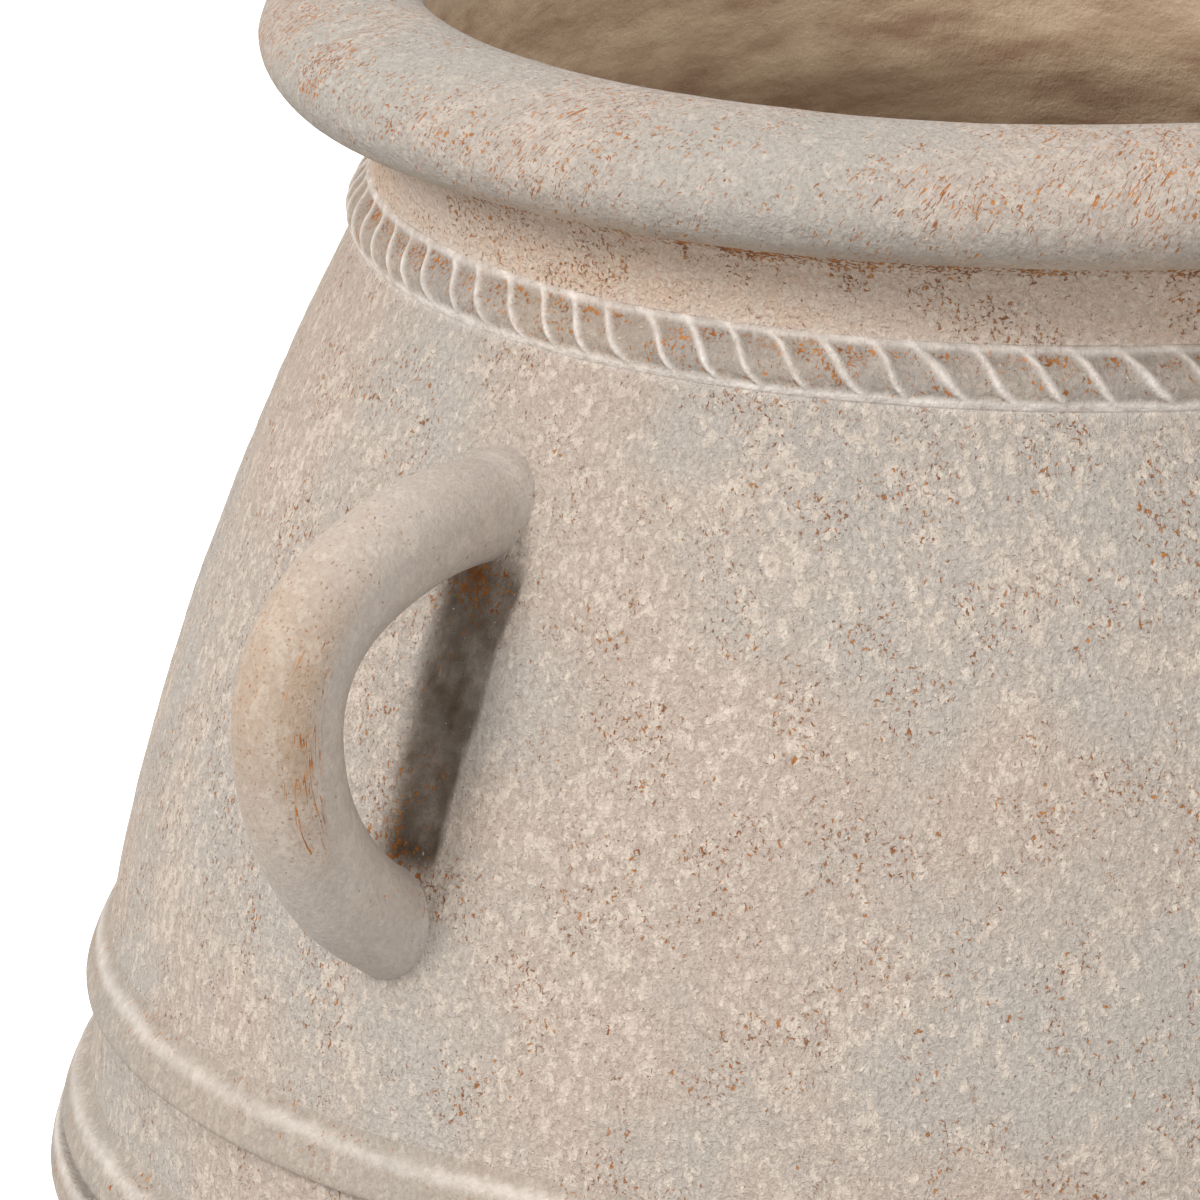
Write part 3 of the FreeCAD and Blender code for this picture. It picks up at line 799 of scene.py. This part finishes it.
# Rope band
def rope_piece():
    """Almond-shaped presses of a round stick, held aslant, with thin raised fins between them."""
    name = "rope_band_clay"
    columns = strands * columns_per_strand
    outer = spread([
        (shoulder_top_radius - 0.2 * mm, rope_foot - 1.0 * mm),
        (shoulder_top_radius + 0.9 * mm, rope_foot + 1.4 * mm),
        (shoulder_top_radius + 2.0 * mm, rope_foot + 4.2 * mm),
        (shoulder_top_radius + 1.9 * mm, rope_foot + 7.6 * mm),
        (shoulder_top_radius + 0.2 * mm, rope_foot + 11.0 * mm),
        (shoulder_top_radius - 2.6 * mm, rope_foot + 13.8 * mm),
        (neck_radius + 0.3 * mm, rope_top + 1.2 * mm),
        (neck_radius - 0.5 * mm, rope_top + 2.6 * mm),
    ], 0.5 * mm)
    rows = len(outer)
    hidden = np.array([(neck_radius - 1.6 * mm, rope_top - 3 * mm),
                       (shoulder_top_radius - 2.4 * mm, rope_foot + 3 * mm)])
    outline = np.concatenate([outer, hidden])
    base = swept(outline, columns)
    facing = np.concatenate([outline_normals(outer, False), outline_normals(hidden, False)])
    facing = swept(facing, columns)
    shown = rows * columns
    down = np.repeat(1 - np.linspace(0, 1, rows), columns)
    turn = np.tile(np.arange(columns) / columns_per_strand, rows)
    around = swept(np.array([[shoulder_top_radius, rope_foot]]), columns)
    wander = np.tile(noise(around, 17 * mm, 81), rows) * 0.32
    thick = np.tile(noise(around, 23 * mm, 83), rows)
    # each fin sweeps out of the top line, leans across the band and runs into the white line below
    sweep = 0.85 * (down - 0.5) + 2.4 * (down - 0.5) ** 3
    phase = turn + wander - sweep
    off = np.abs(phase - np.round(phase))
    fin_width = (0.125 + 0.02 * thick) * (1.25 - 0.35 * np.sin(math.pi * np.clip(down, 0, 1)))
    fin = np.exp(-(off / fin_width) ** 2)
    top_line = 1 - smooth_step(0.08, 0.18 + 0.04 * thick, down)
    low_line = smooth_step(0.78, 0.88, down + 0.04 * thick)
    raised = np.maximum(np.maximum(fin, top_line), low_line)
    hollow = (1 - raised) * np.sqrt(np.clip(off * 2, 0, 1))
    edge = np.minimum(smooth_step(0.0, 0.06, down), 1 - smooth_step(0.95, 1.0, down))
    relief = (raised * 0.5 - hollow * 0.9) * mm * edge + wall_relief(base[:shown]) * 0.6
    points = base.copy()
    points[:shown] += facing[:shown] * relief[:, None]
    white = np.zeros(len(points))
    patchy = (0.82 + 0.35 * noise(base[:shown], 9 * mm, 89)) * (0.65 + 0.35 * np.maximum(fin, low_line))
    white[:shown] = np.clip(raised * 1.15 - 0.15, 0, 1) * patchy
    rust = np.zeros(len(points))
    pooled = smooth_step(-0.5, 0.5, noise(base[:shown], 12 * mm, 91) + 0.1)
    upper_edge = np.exp(-((down - 0.2) / 0.14) ** 2)
    beside_fin = np.exp(-((np.mod(phase, 1.0) - 0.82) / 0.12) ** 2) * 0.6
    rust[:shown] = (1 - raised) * (0.4 + 0.45 * np.maximum(upper_edge, beside_fin)) * pooled
    smooth = np.zeros(len(points))
    smooth[:shown] = (1 - raised) * (1 - np.maximum(upper_edge, beside_fin)) * 0.35
    faces = grid_faces(len(outline), columns, True)
    return add_object(name, points, faces, "rope_band", rope_clay,
                      {"lime": white, "rust": rust, "smooth": smooth})


rope_piece()


# Loop handles
def handle_line():
    """The rod's centre line in the section plane: level, arched over, turned down and back in."""
    arch = math.radians(33)
    slow_bend, quick_bend = 92 * mm, 42.6 * mm
    bends = [(slow_bend, arch), (quick_bend, math.pi / 2 - arch),
             (74 * mm, math.radians(54)), (42 * mm, math.radians(23))]
    furthest = 308.9 * mm
    reach = furthest - slow_bend * math.sin(arch) - quick_bend * (1 - math.sin(arch))
    place = np.array([reach, total_height - 122.2 * mm])
    points = [place - np.array([back, 0]) for back in steps(50 * mm, 0, 1.5 * mm)[:-1]]
    heading = 0.0
    for radius, turn in bends:
        centre = place + np.array([-math.sin(heading), -math.cos(heading)]) * radius
        arm = place - centre
        for angle in steps(0, turn, 1.0 * mm / radius):
            cos, sin = math.cos(angle), math.sin(angle)
            place = centre + np.array([cos * arm[0] + sin * arm[1], cos * arm[1] - sin * arm[0]])
            points.append(place)
        points.pop()
        heading += turn
    forward = np.array([math.cos(heading), -math.sin(heading)])
    points += [place + forward * run for run in steps(0, 24 * mm, 1.5 * mm)]
    points = np.array(points)
    return points[points[:, 0] - free_radius(points[:, 1]) > -16 * mm]


def handle_piece(node, turn):
    """A rod of clay, wiped smooth, a little thinner at its upper joint."""
    sides = 128
    line = handle_line()
    rows = len(line)
    along = np.gradient(line, axis=0)
    along /= np.linalg.norm(along, axis=1)[:, None]
    off = np.stack([-along[:, 1], along[:, 0]], 1)
    around = np.arange(sides) * (2 * math.pi / sides)
    length = np.concatenate([[0], np.cumsum(np.linalg.norm(np.diff(line, axis=0), axis=1))])
    proud = line[:, 0] - free_radius(line[:, 1])
    radius = 15.0 * mm + 0.8 * mm * smooth_step(10 * mm, 75 * mm, length)
    radius = radius + (1 - smooth_step(-3 * mm, 5 * mm, proud)) * 1.0 * mm
    across = radius[:, None] * np.cos(around)
    side = radius[:, None] * np.sin(around)
    r = line[:, 0][:, None] + off[:, 0][:, None] * across
    z = line[:, 1][:, None] + off[:, 1][:, None] * across
    c, s = math.cos(turn), math.sin(turn)
    base = np.stack([(r * c - side * s).ravel(), (r * s + side * c).ravel(), z.ravel()], 1)
    facing_r = off[:, 0][:, None] * np.cos(around)
    facing_z = off[:, 1][:, None] * np.cos(around)
    facing_side = np.broadcast_to(np.sin(around), facing_r.shape)
    facing_x = facing_r * c - facing_side * s
    facing_y = facing_r * s + facing_side * c
    facing = np.stack([facing_x.ravel(), facing_y.ravel(), facing_z.ravel()], 1)
    slow = layered(base, 45 * mm, 2, 101) * 0.35 * mm
    fine = layered(base, 9 * mm, 2, 103) * 0.08 * mm
    points = base + facing * (slow + fine)[:, None]
    side_faces = grid_faces(rows, sides, False)
    ends = np.array([points[:sides].mean(0), points[-sides:].mean(0)])
    points = np.concatenate([points, ends])
    first, last = rows * sides, rows * sides + 1
    column = np.arange(sides)
    next_column = (column + 1) % sides
    start_cap = np.stack([next_column, column, np.full(sides, first)], 1)
    base_row = (rows - 1) * sides
    end_cap = np.stack([base_row + column, base_row + next_column, np.full(sides, last)], 1)
    triangles = np.concatenate([side_faces[:, [0, 1, 2]], side_faces[:, [0, 2, 3]], start_cap, end_cap])

    # Marks: rust at the joints, fine rusty speckle on the outer side, scratches along the rod's flank
    share = np.repeat(length / length[-1], sides)
    round_way = np.tile(around, rows)
    joint = np.repeat(1 - smooth_step(2 * mm, 7 * mm, proud), sides) * 0.35
    outward = np.clip(np.cos(round_way), 0, 1) * np.exp(-((share - 0.5) / 0.22) ** 2)
    flank = np.exp(-((round_way - math.radians(62)) / 0.35) ** 2)
    flank = flank * np.exp(-((share - 0.55) / 0.15) ** 2)
    speckle = np.clip(outward * 0.9 + flank * 0.8 + 0.15 * noise(base, 30 * mm, 107), 0, 1)
    thin = np.stack([np.repeat(length, sides), round_way * handle_radius, np.zeros(rows * sides)], 1)
    # away from the flank the strokes are looked up where no hairline of rust shows
    thin = np.where((flank > 0.25)[:, None], thin, 0.0)
    marks = {"rust": np.append(joint, [0, 0]), "speckle": np.append(speckle, [0, 0]),
             "flow": np.concatenate([thin, np.zeros((2, 3))])}
    return add_object(node + "_clay", points, triangles, node, handle_clay, marks)


for node, turn in zip(["handle_front", "handle_right", "handle_left"], handle_turns):
    handle_piece(node, turn)


# Floor, light and camera
def add_floor():
    """A wide white sweep under the jar, bright enough to melt into the background."""
    mesh = bpy.data.meshes.new("floor")
    half = 30.0
    corners = [(-half, -half, 0), (half, -half, 0), (half, half, 0), (-half, half, 0)]
    mesh.from_pydata(corners, [], [(0, 1, 2, 3)])
    floor = bpy.data.objects.new("floor", mesh)
    bpy.context.scene.collection.objects.link(floor)
    material = bpy.data.materials.new("white_paper_sweep")
    material.use_nodes = True
    shader = material.node_tree.nodes["Principled BSDF"]
    shader.inputs["Base Color"].default_value = linear("#f7f6f4")
    shader.inputs["Roughness"].default_value = 0.9
    shader.inputs["Emission Color"].default_value = (1, 1, 1, 1)
    shader.inputs["Emission Strength"].default_value = 0.45
    mesh.materials.append(material)
    # the jar gets no light thrown back up, as if it stood clear of the sweep
    floor.visible_diffuse = False


view_azimuth = math.radians(43.9)


def add_soft_sun(name, azimuth, elevation, width, strength):
    """A distant soft light; azimuth is measured from the camera's side, towards its right."""
    light = bpy.data.lights.new(name, "SUN")
    light.angle = width
    light.energy = strength
    lamp = bpy.data.objects.new(name, light)
    bpy.context.scene.collection.objects.link(lamp)
    turn = azimuth + view_azimuth
    level = math.cos(elevation)
    way = Vector((math.sin(turn) * level, -math.cos(turn) * level, math.sin(elevation)))
    lamp.rotation_mode = "QUATERNION"
    lamp.rotation_quaternion = way.to_track_quat("Z", "Y")
    return lamp


def add_camera():
    """A long lens at eye height, looking down a little past the neck."""
    distance = 2885.6 * mm
    height = rope_foot + 746.8 * mm
    pitch = 0.2915
    yaw = -0.0475
    data = bpy.data.cameras.new("camera")
    data.lens = 300
    data.sensor_width = 36
    data.clip_start = 0.1
    data.clip_end = 100
    camera = bpy.data.objects.new("camera", data)
    bpy.context.scene.collection.objects.link(camera)
    camera.location = (distance * math.sin(view_azimuth), -distance * math.cos(view_azimuth), height)
    heading = yaw - view_azimuth
    level = math.cos(pitch)
    forward = Vector((math.sin(heading) * level, math.cos(heading) * level, -math.sin(pitch)))
    camera.rotation_mode = "QUATERNION"
    camera.rotation_quaternion = forward.to_track_quat("-Z", "Y")
    bpy.context.scene.camera = camera


add_floor()
add_soft_sun("key", math.radians(-56), math.radians(34), math.radians(18), 2.2)
add_soft_sun("fill", math.radians(25), math.radians(14), math.radians(45), 0.5)
add_camera()

world = bpy.data.worlds.new("studio")
world.use_nodes = True
# a white room, brighter overhead than low down
sky = world.node_tree
height = add(sky, "ShaderNodeTexCoord", {}, {}).outputs["Generated"]
height = add(sky, "ShaderNodeSeparateXYZ", {}, {0: height}).outputs[2]
height = add(sky, "ShaderNodeMapRange", {}, {0: height, 1: -0.2, 2: 1.0, 3: 0.66, 4: 1.15}).outputs[0]
sky.links.new(height, sky.nodes["Background"].inputs["Strength"])
sky.nodes["Background"].inputs["Color"].default_value = (1, 1, 1, 1)
bpy.context.scene.world = world
bpy.context.scene.view_settings.view_transform = "Standard"
